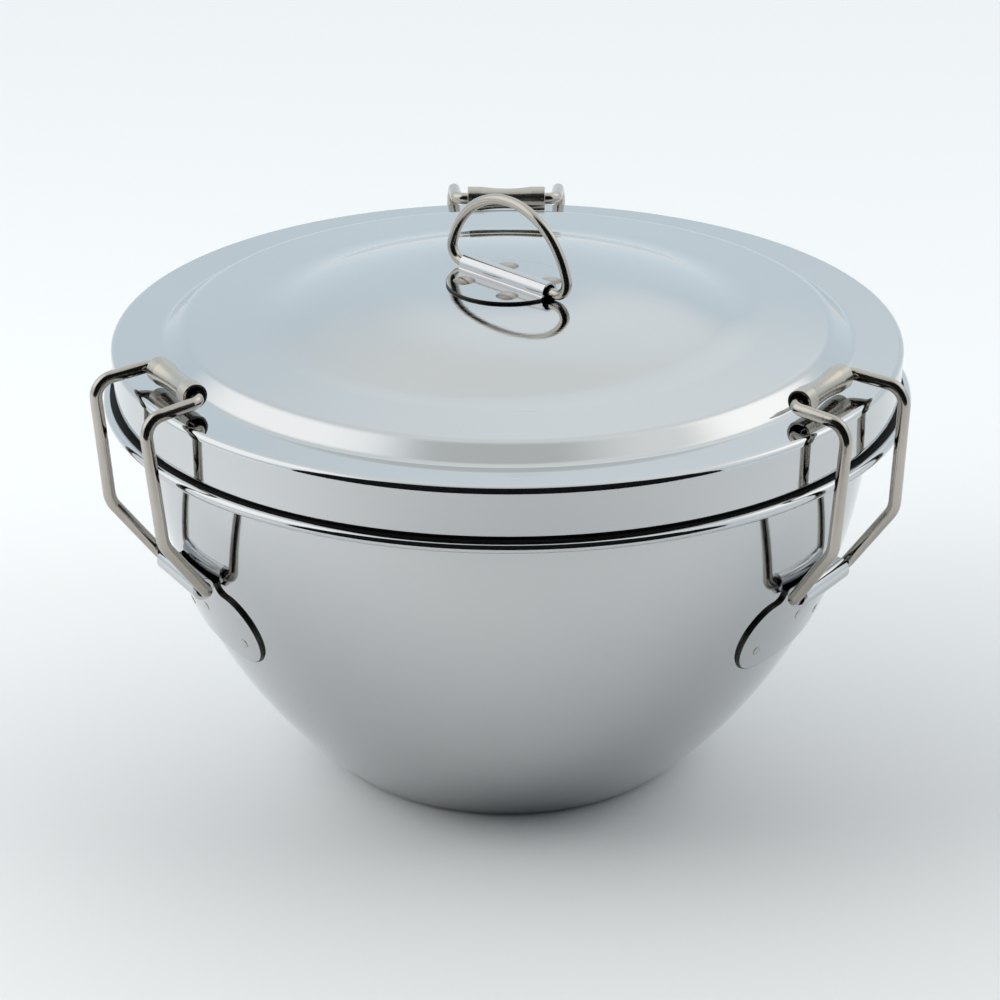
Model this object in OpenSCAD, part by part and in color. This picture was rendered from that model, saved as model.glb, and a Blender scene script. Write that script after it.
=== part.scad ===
// Stainless steel pudding steamer: a basin with a rolled rim, a black seal on the rim flange, a domed lid
// that sits on the seal, three wire clips with rollers that hold the lid down, and a folding ring handle.
// The origin is the middle of the flat base, +Z is up, and the rear clip stands on the +Y side.

/* [Bowl] */
// Height from the table to the top face of the rim flange
bowl_h = 95; // [80:1:120]
// Outside diameter over the rolled rim bead
rim_d = 194.2; // [180:0.2:205]
// How far the outside of the bead stands out from the wall
flange_w = 9.1; // [8:0.1:13]
// Diameter at which the wall line meets the table
base_d = 85; // [60:1:110]
// Lean of the wall at the flange, in degrees
wall_lean = 0.9; // [0:0.1:4]
// Sheet thickness of the bowl
bowl_sheet = 0.8; // [0.5:0.1:1.2]
// Outside radius between the base and the wall
base_corner_r = 4; // [2:0.5:8]
// Radius under the flange where the wall turns out
flange_fillet_r = 1.5; // [0.8:0.1:3]
// Radius of the rolled rim bead
bead_r = 1.2; // [1:0.1:1.6]
// Height of the bead's crest above the flange
bead_rise = 0.6; // [0.3:0.1:0.9]
// Width of the seal that lies on the flange, level with the bead's crest
seal_w = 5; // [4:0.1:6]

/* [Lid] */
// Sheet thickness of the lid
lid_sheet = 0.7; // [0.5:0.1:1]
// Height of the skirt, from the hem to the flat land
skirt_h = 12.6; // [9:0.2:20]
// How much wider the skirt is at the land than at the hem, on the radius
skirt_draft = 0.6; // [0:0.1:1]
// Outside radius between the land and the skirt
land_corner_r = 1.5; // [1.2:0.1:3]
// Width of the flat land, from the skirt to the foot of the step
land_w = 12.2; // [11:0.2:18]
// Height of the step above the land
step_h = 4; // [3:0.2:7]
// Slope of the step, in degrees
step_slope = 37; // [32:1:60]
// Radius at the foot of the step
step_foot_r = 3; // [1.5:0.1:4]
// Radius at the shoulder of the step
step_shoulder_r = 4.5; // [2:0.1:6]
// Slope of the ring between the step and the dome, in degrees
ring_slope = 3; // [0:0.5:4]
// Diameter at which the dome meets that ring
dome_d = 114; // [96:1:124]
// Height of the dome's middle above the land
dome_h = 12.5; // [10:0.5:18]
// Radius of the flat middle that carries the handle
dome_flat_r = 17; // [16:0.5:24]
// Radius of the blend at the foot of the dome
dome_blend_r = 36; // [10:1:40]
// Outside radius of the folded hem
hem_r = 0.85; // [0.8:0.05:1.1]
// Height of the hem's folded leaf
hem_leaf = 2.2; // [1:0.1:4]

/* [Handle] */
// Direction of the handle's pivot, in degrees from +X
handle_turn = -45.5; // [-90:0.5:90]
// Wire diameter of the ring
ring_wire_d = 2.5; // [2:0.1:3]
// Radius of the ring's bow, at the middle of the wire
ring_bow_r = 20; // [18:0.5:24]
// How far the bow's centre lies below the pivot
ring_bow_drop = 0.8; // [0:0.1:3]
// How far the ring sits to one side in its tunnel
ring_shift = 0.5; // [-1.2:0.1:1.2]
// Bend radius at the ring's two corners
ring_corner_r = 3.5; // [3:0.1:5]
// Diameter of the handle plate
plate_d = 29.4; // [28:0.2:32]
// Sheet thickness of the handle plate
plate_sheet = 0.5; // [0.4:0.1:1]
// Length of the tunnel that holds the ring
tunnel_l = 28.4; // [24:0.2:28.4]
// Diameter of the four weld buttons
button_d = 5.4; // [4:0.1:6]
// Height of the weld buttons over the plate
button_h = 0.8; // [0.3:0.05:1.2]
// Distance of the weld buttons from the middle of the plate
button_ring_r = 10.3; // [9:0.1:10.8]

/* [Clips] */
// Direction of the front left clip, in degrees from +X
left_turn = 209.4; // [200:0.2:220]
// Direction of the front right clip, in degrees from +X
right_turn = 327; // [320:0.2:340]
// Direction of the rear clip, in degrees from +X
rear_turn = 90.2; // [80:0.2:100]
// How far the front left clip leans out at rest, in degrees
left_lean = 1; // [-1:0.1:1]
// How far the front right clip leans out at rest, in degrees
right_lean = -1; // [-1:0.1:1]
// How far the rear clip leans out at rest, in degrees
rear_lean = 0; // [-1:0.1:1]
// Wire diameter of the bails
bail_wire_d = 3; // [2.4:0.1:3.2]
// Height of the clip pivot above the table
pivot_h = 63.9; // [58:0.1:68]
// Length of the bracket's knuckle
knuckle_l = 20.2; // [16:0.2:24]
// How far the knuckle stands off the wall
knuckle_standoff = 0.4; // [0.2:0.05:0.6]
// Sheet thickness of the bracket
bracket_sheet = 0.8; // [0.6:0.1:1]
// Width of the bracket's plate
bracket_w = 41; // [36:0.5:46]
// Height of the bracket's plate
bracket_h = 18; // [16:0.5:20]
// Distance from the pivot down to the top edge of the plate
bracket_drop = 2; // [1:0.1:4]
// Radius between the bracket's neck and its plate
bracket_fillet_r = 2; // [1:0.1:2.5]
// Diameter of the bracket's weld nuggets
nugget_d = 2.4; // [1.5:0.1:3]
// How far a bail's lower bend stands out past the rim
bend_out = 1.25; // [0.5:0.05:4]
// Height of a bail's lower bend above the pivot
bend_up = 15.9; // [12:0.1:20]
// Half the distance between the two legs at the lower bend
bend_half_w = 14.8; // [14:0.1:17]
// How far a bail's upper corner stands out past the rim
corner_out = 3.95; // [2.4:0.05:6]
// Height of a bail's upper corner above the land
corner_up = 2.4; // [0.5:0.1:3]
// Half the distance between the two legs at the upper corner
corner_half_w = 13.9; // [13:0.1:16]
// Bend radius at the knuckle and at the roller
tight_bend_r = 2.6; // [2.2:0.1:3]
// Bend radius at the upper corners
corner_bend_r = 4.5; // [3:0.1:6]
// Bend radius at the lower bends
lower_bend_r = 7; // [4:0.5:10]
// Length of a roller
roller_l = 20; // [16:0.2:21]
// Outside diameter at a roller's ends
roller_d = 6.2; // [5.8:0.1:6.8]
// Sheet thickness of a roller
roller_sheet = 0.6; // [0.4:0.05:0.7]
// Length of a roller's waist
waist_l = 13; // [8:0.5:14]
// Distance from the lid's edge in to the roller's axis
roller_inset = 8.6; // [8:0.1:11]
// Width of a roller's lengthwise seam
seam_w = 0.35; // [0.2:0.05:0.6]

/* [Clearances] */
// Clearance between the lid's hem and the seal
hem_seat_gap = 0.1; // [0:0.05:0.3]
// Clearance between the lid's hem and the bead, on the radius
hem_side_gap = 0.3; // [0.1:0.05:0.5]
// Clearance of the seal over the flange and beside the bead
seal_gap = 0.05; // [0.02:0.01:0.1]
// Clearance between a roller's ends and the lid's land
roller_gap = 0.8; // [0.6:0.05:1]
// Clearance of the wire in a knuckle, on the radius
knuckle_gap = 0.4; // [0.2:0.05:0.6]
// Clearance of the wire in a roller's waist, on the radius
waist_gap = 0.5; // [0.1:0.05:0.6]
// Clearance of the ring's wire in the tunnel, on the radius
tunnel_gap = 0.6; // [0.3:0.05:0.8]
// Clearance of the ring's wire over the dome
ring_lid_gap = 0.25; // [0.1:0.05:0.5]
// Gap between the handle plate and the middle of the dome
plate_gap = 0.1; // [0.05:0.05:0.3]
// End play of the wire beside a knuckle or a roller
end_play = 0.3; // [0.1:0.1:1]
// Gap between two sheets that are welded together
weld_gap = 0.05; // [0.02:0.01:0.1]

/* [Hidden] */
$fn = 96;

polished = [0.80, 0.83, 0.86];
satin = [0.70, 0.68, 0.64];
weld_tint = [0.62, 0.57, 0.50];
rubber = [0.06, 0.06, 0.06];

// Bowl: the wall is one arc from the table to the flange
rim_r = rim_d / 2;
mouth_r = rim_r - flange_w;
wall_run = mouth_r - base_d / 2;
wall_bow = wall_run * cos(wall_lean) - bowl_h * sin(wall_lean);
wall_r = (pow(wall_run, 2) + pow(bowl_h, 2)) / (2 * wall_bow);
wall_c = [mouth_r - wall_r * cos(wall_lean), bowl_h + wall_r * sin(wall_lean)];
bead_c = [rim_r - bead_r, bowl_h + bead_rise - bead_r];
crest_z = bowl_h + bead_rise;
wall_steps = 28;
fillet_steps = 7;

// Lid: heights here are above the land
skirt_foot_r = rim_r - 2 * bead_r - hem_side_gap;
lid_r = skirt_foot_r + skirt_draft;
land_z = crest_z + hem_seat_gap + skirt_h;
foot_r = lid_r - land_w;
shoulder_r = foot_r - step_h / tan(step_slope);
ring_z0 = step_h + shoulder_r * tan(ring_slope);
dome_foot_z = ring_z0 - dome_d / 2 * tan(ring_slope);
dome_sag = dome_h - dome_foot_z;
dome_r = (pow(dome_d / 2 - dome_flat_r, 2) + pow(dome_sag, 2)) / (2 * dome_sag);
dome_cz = dome_h - dome_r;
dome_steps = 20;

// Wires and welds
bend_swell = 1.01;
bend_lap = 0.15;
plug_clear = 0.02;

// Handle: the ring's pivot lies over the middle of the dome
plate_z = land_z + dome_h + plate_gap;
tunnel_in_r = ring_wire_d / 2 + tunnel_gap;
tunnel_out_r = tunnel_in_r + plate_sheet;
ring_axis_z = land_z + dome_h + ring_lid_gap + ring_wire_d / 2;
ring_corner_a = asin((ring_corner_r + ring_bow_drop) / (ring_bow_r - ring_corner_r));
ring_chord = (ring_bow_r - ring_corner_r) * cos(ring_corner_a);
ring_bow_a = ring_corner_a - asin(bend_lap / ring_bow_r);
button_plug_d = button_d * 2 / 3;
button_foot_z = land_z + dome_h + plug_clear;

// Clips: lengths here are along the clip's own radius, across it, and up
knuckle_in_r = bail_wire_d / 2 + knuckle_gap;
knuckle_out_r = knuckle_in_r + bracket_sheet;
pivot_r = wall_at(pivot_h) + weld_gap + knuckle_standoff + knuckle_out_r;
roller_r = roller_d / 2;
waist_r = bail_wire_d / 2 + waist_gap + roller_sheet;
roller_axis = [lid_r - roller_inset, land_z + roller_gap + roller_r];
roller_steps = 20;
wire_end_gap = 4;
seam_turn = -60;
nugget_proud = 0.12;
nugget_side = 14;
nugget_low = 14.2;
nugget_high = 9.5;

function unit(v) = v / norm(v);
function left_of(v) = [-v.y, v.x];
function around(c, r, a) = c + r * [cos(a), sin(a)];
function arc(c, r, a0, a1, n) = [for (i = [0:n]) around(c, r, a0 + (a1 - a0) * i / n)];
function reversed(p) = [for (i = [len(p) - 1:-1:0]) p[i]];
function distinct(p) =
  [for (i = [0:len(p) - 1]) if (i == 0 || norm(p[i] - p[max(i - 1, 0)]) > 1e-4) p[i]];

// Arc that rounds the corner at b between a and c
function rounded(a, b, c, r, n) =
  let (u = unit(a - b), v = unit(c - b), half = acos(u * v) / 2, mid = b + unit(u + v) * r / sin(half),
       p = b + u * r / tan(half), q = b + v * r / tan(half),
       a0 = atan2(p.y - mid.y, p.x - mid.x), turn = atan2(q.y - mid.y, q.x - mid.x) - a0,
       sweep = turn > 180 ? turn - 360 : turn < -180 ? turn + 360 : turn)
  arc(mid, r, a0, a0 + sweep, n);

// The path moved sideways by d, to its left where d is positive
function miter(p, i) =
  p[i].x < 1e-6 ? [0, 1] :
  let (before = left_of(unit(p[max(i, 1)] - p[max(i, 1) - 1])),
       after = left_of(unit(p[min(i, len(p) - 2) + 1] - p[min(i, len(p) - 2)])))
  (before + after) / (1 + before * after);
function beside(p, d) = [for (i = [0:len(p) - 1]) p[i] + d * miter(p, i)];

// Outside radius of the bowl's wall at height z
function wall_at(z) = wall_c.x + sqrt(pow(wall_r, 2) - pow(z - wall_c.y, 2));
function wall_angle(z) = asin((z - wall_c.y) / wall_r);

// Sheet of thickness t on the left of a path, where t may be negative
module sheet(path, t) {
  polygon(concat(path, reversed(beside(path, t))));
}

// Outside line of the bowl, from the middle of the base to the rim bead
function bowl_line() =
  let (corner_run = sqrt(pow(wall_r - base_corner_r, 2) - pow(wall_c.y - base_corner_r, 2)),
       corner = [wall_c.x + corner_run, base_corner_r],
       low = atan2(corner.y - wall_c.y, corner.x - wall_c.x),
       under = bowl_h - bowl_sheet,
       turn_z = under - flange_fillet_r,
       turn = [wall_c.x + sqrt(pow(wall_r + flange_fillet_r, 2) - pow(turn_z - wall_c.y, 2)), turn_z],
       high = atan2(turn.y - wall_c.y, turn.x - wall_c.x))
  distinct(concat(
    [[0, 0]],
    arc(corner, base_corner_r, -90, low, fillet_steps),
    arc(wall_c, wall_r, low, high, wall_steps),
    arc(turn, flange_fillet_r, 180 + high, 90, fillet_steps),
    [[bead_c.x, under]]));

// Outside line of the lid, from the middle of the dome to the leaf of the hem
function lid_line() =
  let (slope = tan(ring_slope),
       lift = ring_z0 + dome_blend_r / cos(ring_slope) - dome_cz,
       qa = 1 + pow(slope, 2),
       qb = -dome_flat_r - slope * lift,
       qc = pow(dome_flat_r, 2) + pow(lift, 2) - pow(dome_r + dome_blend_r, 2),
       blend_x = (-qb + sqrt(pow(qb, 2) - qa * qc)) / qa,
       blend = [blend_x, ring_z0 + dome_blend_r / cos(ring_slope) - slope * blend_x],
       lean = atan2(blend.x - dome_flat_r, blend.y - dome_cz),
       ring_start = blend - dome_blend_r * [sin(ring_slope), cos(ring_slope)],
       shoulder = [shoulder_r, step_h],
       foot = [foot_r, 0],
       edge = [lid_r, 0],
       hem = [skirt_foot_r - hem_r, hem_r - skirt_h])
  distinct(concat(
    [[0, dome_h]],
    arc([dome_flat_r, dome_cz], dome_r, 90, 90 - lean, dome_steps),
    arc(blend, dome_blend_r, -90 - lean, -90 - ring_slope, fillet_steps),
    rounded(ring_start, shoulder, foot, step_shoulder_r, fillet_steps),
    rounded(shoulder, foot, edge, step_foot_r, fillet_steps),
    rounded(foot, edge, [skirt_foot_r, hem.y], land_corner_r, fillet_steps),
    arc(hem, hem_r, 0, -180, 2 * fillet_steps),
    [[hem.x - hem_r, hem.y + hem_leaf]]));

// Outside line of a roller: a hollow waist between two straight collars
function waist_at(y) = [waist_r + (roller_r - waist_r) * pow(2 * y / waist_l, 2), y];
function roller_line() = concat(
  [[roller_r, -roller_l / 2]],
  [for (i = [0:roller_steps]) waist_at(waist_l * (i / roller_steps - 0.5))],
  [[roller_r, roller_l / 2]]);

// One bent wire through points, with a bend radius at each inner point.
// A bend is a hair thicker than the straight wire, which runs a little way into it.
module wire(points, bends, d) {
  last = len(points) - 1;
  dirs = [for (i = [0:last - 1]) unit(points[i + 1] - points[i])];
  half = [for (i = [0:last]) i == 0 || i == last ? 0 : acos(dirs[i - 1] * dirs[i]) / 2];
  back = [for (i = [0:last]) bends[i] * tan(half[i])];
  for (i = [0:last - 1]) {
    from = points[i] + dirs[i] * (back[i] - bend_lap);
    to = points[i + 1] - dirs[i] * (back[i + 1] - bend_lap);
    translate(from)
      rotate([0, acos(dirs[i].z), atan2(dirs[i].y, dirs[i].x)])
        cylinder(h = norm(to - from), d = d);
  }
  for (i = [1:last - 1]) {
    axis = unit(cross(dirs[i - 1], dirs[i]));
    inward = cross(axis, dirs[i - 1]);
    middle = points[i] - dirs[i - 1] * back[i] + inward * bends[i];
    multmatrix([
      [-inward.x, dirs[i - 1].x, axis.x, middle.x],
      [-inward.y, dirs[i - 1].y, axis.y, middle.y],
      [-inward.z, dirs[i - 1].z, axis.z, middle.z],
      [0, 0, 0, 1]
    ])
      rotate_extrude(angle = 2 * half[i])
        translate([bends[i], 0])
          circle(d = d * bend_swell);
  }
}

// Points of a bail's wire, from one end in the roller round to the other
function bail_half(side) = [
  [roller_axis.x, side * wire_end_gap / 2, roller_axis.y],
  [roller_axis.x, side * (roller_l / 2 + end_play + tight_bend_r), roller_axis.y],
  [rim_r + corner_out, side * corner_half_w, land_z + corner_up],
  [rim_r + bend_out, side * bend_half_w, pivot_h + bend_up],
  [pivot_r, side * (knuckle_l / 2 + end_play + tight_bend_r), pivot_h]
];
bail_points = concat(bail_half(-1), reversed(bail_half(1)));
bend_list = [0, tight_bend_r, corner_bend_r, lower_bend_r, tight_bend_r];
bail_bends = concat(bend_list, reversed(bend_list));

// Leans its children out round the clip's pivot
module leaning(lean) {
  translate([pivot_r, 0, pivot_h])
    rotate([0, lean, 0])
      translate([-pivot_r, 0, -pivot_h])
        children();
}

// Places its children at height z on the wall, side mm across from the clip's middle,
// with +X pointing out of the wall
module on_wall(z, side) {
  rotate([0, 0, asin(side / wall_at(z))])
    translate([wall_c.x, 0, wall_c.y])
      rotate([0, -wall_angle(z), 0])
        translate([wall_r, 0, 0])
          children();
}

nugget_places = [
  [pivot_h - nugget_low, -nugget_side],
  [pivot_h - nugget_low, nugget_side],
  [pivot_h - nugget_high, 0]
];

// Outline of the bracket, across the clip and up from the pivot
module bracket_outline() {
  end_r = bracket_h / 2;
  lobe = [bracket_w / 2 - end_r, -bracket_drop - end_r];
  fillet_x = knuckle_l / 2 + bracket_fillet_r;
  fillet_y = lobe.y + sqrt(pow(end_r + bracket_fillet_r, 2) - pow(fillet_x - lobe.x, 2));
  lobe_a = atan2(fillet_y - lobe.y, fillet_x - lobe.x);
  half = distinct(concat(
    arc(lobe, end_r, -90, lobe_a, 24),
    arc([fillet_x, fillet_y], bracket_fillet_r, lobe_a + 180, 180, fillet_steps),
    [[knuckle_l / 2, knuckle_out_r / 3]]));
  polygon(concat(half, [for (p = reversed(half)) [-p.x, p.y]]));
}

// Bracket with its plate on the wall and its knuckle round the pivot
module bracket() {
  line = arc(wall_c, wall_r + weld_gap, wall_angle(pivot_h - bracket_drop - 1.3 * bracket_h),
             wall_angle(pivot_h + knuckle_out_r), wall_steps);
  reach = 2 * asin(bracket_w / 2 / wall_at(pivot_h - bracket_h));
  difference() {
    union() {
      intersection() {
        rotate([0, 0, -reach])
          rotate_extrude(angle = 2 * reach)
            sheet(line, -bracket_sheet);
        translate([0, 0, pivot_h])
          rotate([90, 0, 90])
            linear_extrude(rim_r)
              bracket_outline();
      }
      translate([pivot_r, -knuckle_l / 2, pivot_h])
        rotate([-90, 0, 0])
          cylinder(h = knuckle_l, r = knuckle_out_r);
    }
    translate([pivot_r, -knuckle_l, pivot_h])
      rotate([-90, 0, 0])
        cylinder(h = 2 * knuckle_l, r = knuckle_in_r);
    for (place = nugget_places) {
      on_wall(place[0], place[1])
        rotate([0, 90, 0])
          cylinder(h = 4 * bracket_sheet, d = nugget_d + 2 * plug_clear);
    }
  }
}

module bracket_welds() {
  for (place = nugget_places) {
    on_wall(place[0], place[1])
      translate([weld_gap, 0, 0])
        rotate([0, 90, 0])
          cylinder(h = bracket_sheet + nugget_proud, d = nugget_d);
  }
}

module roller() {
  translate([roller_axis.x, 0, roller_axis.y])
    rotate([-90, 0, 0])
      difference() {
        rotate_extrude()
          sheet(roller_line(), roller_sheet);
        rotate([0, 0, -seam_turn])
          translate([0, -seam_w / 2, -roller_l])
            cube([roller_d, seam_w, 2 * roller_l]);
      }
}

module bowl() {
  color(polished)
    rotate_extrude() {
      sheet(bowl_line(), bowl_sheet);
      translate(bead_c)
        circle(r = bead_r);
    }
}

// The seal fills the corner between the flange and the bead
module seal() {
  foot_z = bowl_h + seal_gap;
  reach = bead_r + seal_gap;
  low = 180 - asin((foot_z - bead_c.y) / reach);
  high = 180 - asin((crest_z - bead_c.y) / reach);
  flank = arc(bead_c, reach, low, high, fillet_steps);
  inner_r = flank[fillet_steps].x - seal_w;
  color(rubber)
    rotate_extrude()
      polygon(concat([[inner_r, foot_z]], flank, [[inner_r, crest_z]]));
}

module lid() {
  color(polished)
    translate([0, 0, land_z])
      rotate_extrude()
        sheet(lid_line(), -lid_sheet);
}

// Places its children over the four weld buttons
module at_buttons() {
  for (i = [0:3]) {
    rotate([0, 0, handle_turn + 45 + 90 * i])
      translate([button_ring_r, 0, 0])
        children();
  }
}

module handle_plate() {
  color(polished)
    difference() {
      union() {
        translate([0, 0, plate_z])
          cylinder(h = plate_sheet, d = plate_d);
        rotate([0, 0, handle_turn]) {
          translate([-tunnel_l / 2, 0, ring_axis_z])
            rotate([0, 90, 0])
              cylinder(h = tunnel_l, r = tunnel_out_r);
        }
      }
      rotate([0, 0, handle_turn]) {
        translate([-plate_d, 0, ring_axis_z])
          rotate([0, 90, 0])
            cylinder(h = 2 * plate_d, r = tunnel_in_r);
        translate([-plate_d, -tunnel_in_r, land_z])
          cube([2 * plate_d, 2 * tunnel_in_r, ring_axis_z - land_z]);
      }
      translate([0, 0, land_z])
        cylinder(h = dome_h + plate_gap, d = 2 * plate_d);
      at_buttons()
        translate([0, 0, land_z])
          cylinder(h = 2 * dome_h, d = button_plug_d + 2 * plug_clear);
    }
}

module handle_welds() {
  cap_r = (pow(button_d / 2, 2) + pow(button_h, 2)) / (2 * button_h);
  color(weld_tint)
    at_buttons() {
      translate([0, 0, button_foot_z])
        cylinder(h = plate_z + plate_sheet + button_h / 2 - button_foot_z, d = button_plug_d);
      translate([0, 0, plate_z + plate_sheet + plug_clear])
        intersection() {
          translate([0, 0, button_h - cap_r])
            sphere(r = cap_r);
          cylinder(h = button_d, d = 2 * button_d);
        }
    }
}

module handle_ring() {
  color(satin)
    translate([0, 0, ring_axis_z])
      rotate([90, 0, handle_turn])
        translate([ring_shift, 0, 0]) {
          translate([-ring_chord - bend_lap, 0, 0])
            rotate([0, 90, 0])
              cylinder(h = 2 * (ring_chord + bend_lap), d = ring_wire_d);
          translate([0, -ring_bow_drop, 0])
            rotate([0, 0, ring_bow_a])
              rotate_extrude(angle = 180 - 2 * ring_bow_a)
                translate([ring_bow_r, 0])
                  circle(d = ring_wire_d);
          for (side = [0, 1]) {
            mirror([side, 0, 0])
              translate([ring_chord, ring_corner_r, 0])
                rotate([0, 0, -90])
                  rotate_extrude(angle = 90 + ring_corner_a)
                    translate([ring_corner_r, 0])
                      circle(d = ring_wire_d * bend_swell);
          }
        }
}

module left_bracket() {
  color(polished)
    rotate([0, 0, left_turn])
      bracket();
}

module left_bracket_welds() {
  color(weld_tint)
    rotate([0, 0, left_turn])
      bracket_welds();
}

module left_bail() {
  color(satin)
    rotate([0, 0, left_turn])
      leaning(left_lean)
        wire(bail_points, bail_bends, bail_wire_d);
}

module left_roller() {
  color(satin)
    rotate([0, 0, left_turn])
      leaning(left_lean)
        roller();
}

module right_bracket() {
  color(polished)
    rotate([0, 0, right_turn])
      bracket();
}

module right_bracket_welds() {
  color(weld_tint)
    rotate([0, 0, right_turn])
      bracket_welds();
}

module right_bail() {
  color(satin)
    rotate([0, 0, right_turn])
      leaning(right_lean)
        wire(bail_points, bail_bends, bail_wire_d);
}

module right_roller() {
  color(satin)
    rotate([0, 0, right_turn])
      leaning(right_lean)
        roller();
}

module rear_bracket() {
  color(polished)
    rotate([0, 0, rear_turn])
      bracket();
}

module rear_bracket_welds() {
  color(weld_tint)
    rotate([0, 0, rear_turn])
      bracket_welds();
}

module rear_bail() {
  color(satin)
    rotate([0, 0, rear_turn])
      leaning(rear_lean)
        wire(bail_points, bail_bends, bail_wire_d);
}

module rear_roller() {
  color(satin)
    rotate([0, 0, rear_turn])
      leaning(rear_lean)
        roller();
}

bowl();
seal();
lid();
handle_plate();
handle_welds();
handle_ring();
left_bracket();
left_bracket_welds();
left_bail();
left_roller();
right_bracket();
right_bracket_welds();
right_bail();
right_roller();
rear_bracket();
rear_bracket_welds();
rear_bail();
rear_roller();
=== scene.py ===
"""Looks of a stainless steel pudding steamer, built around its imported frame."""

import math

import bpy
from mathutils import Matrix, Vector


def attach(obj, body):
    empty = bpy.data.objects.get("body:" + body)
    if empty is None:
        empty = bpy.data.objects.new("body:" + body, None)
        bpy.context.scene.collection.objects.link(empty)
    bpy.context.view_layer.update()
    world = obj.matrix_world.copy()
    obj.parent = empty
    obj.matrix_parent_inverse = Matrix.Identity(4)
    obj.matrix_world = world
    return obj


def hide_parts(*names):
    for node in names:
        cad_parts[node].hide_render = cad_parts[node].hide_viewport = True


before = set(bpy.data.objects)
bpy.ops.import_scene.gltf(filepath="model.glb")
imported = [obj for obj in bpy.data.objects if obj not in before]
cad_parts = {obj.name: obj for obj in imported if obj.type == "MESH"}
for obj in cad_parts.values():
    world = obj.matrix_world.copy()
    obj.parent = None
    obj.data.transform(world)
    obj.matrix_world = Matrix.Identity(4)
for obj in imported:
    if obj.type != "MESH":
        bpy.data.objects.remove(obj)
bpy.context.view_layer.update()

# Lengths are in millimetres, as in the part's own source, and meshes are scaled to metres
MM = 0.001

# Bowl
BOWL_H = 95
RIM_R = 194.2 / 2
FLANGE_W = 9.1
BASE_R = 85 / 2
WALL_LEAN = math.radians(0.9)
BOWL_SHEET = 0.8
BASE_CORNER_R = 4
FLANGE_FILLET_R = 1.5
BEAD_R = 1.2
BEAD_RISE = 0.6
SEAL_W = 5
SEAL_GAP = 0.05

# Lid
LID_SHEET = 0.7
SKIRT_H = 12.6
SKIRT_DRAFT = 0.6
LAND_CORNER_R = 1.5
LAND_W = 12.2
STEP_H = 4
STEP_SLOPE = math.radians(37)
STEP_FOOT_R = 3
STEP_SHOULDER_R = 4.5
RING_SLOPE = math.radians(3)
DOME_D = 114
DOME_H = 12.5
DOME_FLAT_R = 17
DOME_BLEND_R = 36
HEM_R = 0.85
HEM_LEAF = 2.2
HEM_SEAT_GAP = 0.1
HEM_SIDE_GAP = 0.3

# Handle
HANDLE_TURN = math.radians(-45.5)
RING_WIRE_R = 2.5 / 2
RING_BOW_R = 20
RING_BOW_DROP = 0.8
RING_SHIFT = 0.5
RING_CORNER_R = 3.5
RING_LID_GAP = 0.25
PLATE_R = 29.4 / 2
PLATE_SHEET = 0.5
PLATE_GAP = 0.1
PLATE_FILLET_R = 0.5
TUNNEL_L = 28.4
TUNNEL_GAP = 0.6
BUTTON_R = 5.4 / 2
BUTTON_H = 0.8
BUTTON_RING_R = 10.3
BUTTONS = 4

# Clips: direction from +X and outward lean at rest, in degrees
CLIPS = {"left": (209.4, 1), "right": (327, -1), "rear": (90.2, 0)}
BAIL_WIRE_R = 3 / 2
PIVOT_H = 63.9
KNUCKLE_L = 20.2
KNUCKLE_STANDOFF = 0.4
KNUCKLE_GAP = 0.4
ROLL_START = math.radians(185)
ROLL_END = math.radians(-140)
BRACKET_SHEET = 0.8
BRACKET_W = 41
BRACKET_H = 18
BRACKET_DROP = 2
BRACKET_FILLET_R = 2
WELD_GAP = 0.05
NUGGET_R = 2.4 / 2
NUGGET_PROUD = 0.12
NUGGET_SIDE = 14
NUGGET_LOW = 14.2
NUGGET_HIGH = 9.5
BEND_OUT = 1.25
BEND_UP = 15.9
BEND_HALF_W = 14.8
CORNER_OUT = 3.95
CORNER_UP = 2.4
CORNER_HALF_W = 13.9
TIGHT_BEND_R = 2.6
CORNER_BEND_R = 4.5
LOWER_BEND_R = 7
END_PLAY = 0.3
WIRE_END_GAP = 4
ROLLER_L = 20
ROLLER_R = 6.2 / 2
ROLLER_SHEET = 0.6
ROLLER_INSET = 8.6
ROLLER_GAP = 0.8
WAIST_L = 13
WAIST_GAP = 0.5
SEAM_W = 0.35
SEAM_TURN = math.radians(-60)

# Outline of a spot weld's pad: shares of its radius and of its height, and the normal there
NUGGET_LINE = [
    (1, -1, (1, 0)),
    (1, 0.4, (0.9, 0.45)),
    (0.8, 1, (0.05, 1)),
    (0.45, 0.75, (-0.1, 1)),
    (0, 0.3, (0, 1)),
]

# Fineness and softened edges of the meshes
MERGE_DIGITS = 5
LATHE_STEPS = 192
WALL_STEPS = 48
DOME_STEPS = 40
BEND_STEPS = 14
WIRE_SIDES = 32
CUT_EDGE_R = 0.18
EDGE_STEPS = 4
RIM_STEP = 0.01

# Sizes that follow from those above
MOUTH_R = RIM_R - FLANGE_W
WALL_RUN = MOUTH_R - BASE_R
WALL_BOW = WALL_RUN * math.cos(WALL_LEAN) - BOWL_H * math.sin(WALL_LEAN)
WALL_R = (WALL_RUN**2 + BOWL_H**2) / (2 * WALL_BOW)
WALL_C = Vector((MOUTH_R - WALL_R * math.cos(WALL_LEAN), BOWL_H + WALL_R * math.sin(WALL_LEAN)))
BEAD_C = Vector((RIM_R - BEAD_R, BOWL_H + BEAD_RISE - BEAD_R))
CREST_Z = BOWL_H + BEAD_RISE
SKIRT_FOOT_R = RIM_R - 2 * BEAD_R - HEM_SIDE_GAP
LID_R = SKIRT_FOOT_R + SKIRT_DRAFT
LAND_Z = CREST_Z + HEM_SEAT_GAP + SKIRT_H
FOOT_R = LID_R - LAND_W
SHOULDER_R = FOOT_R - STEP_H / math.tan(STEP_SLOPE)
RING_Z0 = STEP_H + SHOULDER_R * math.tan(RING_SLOPE)
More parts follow.
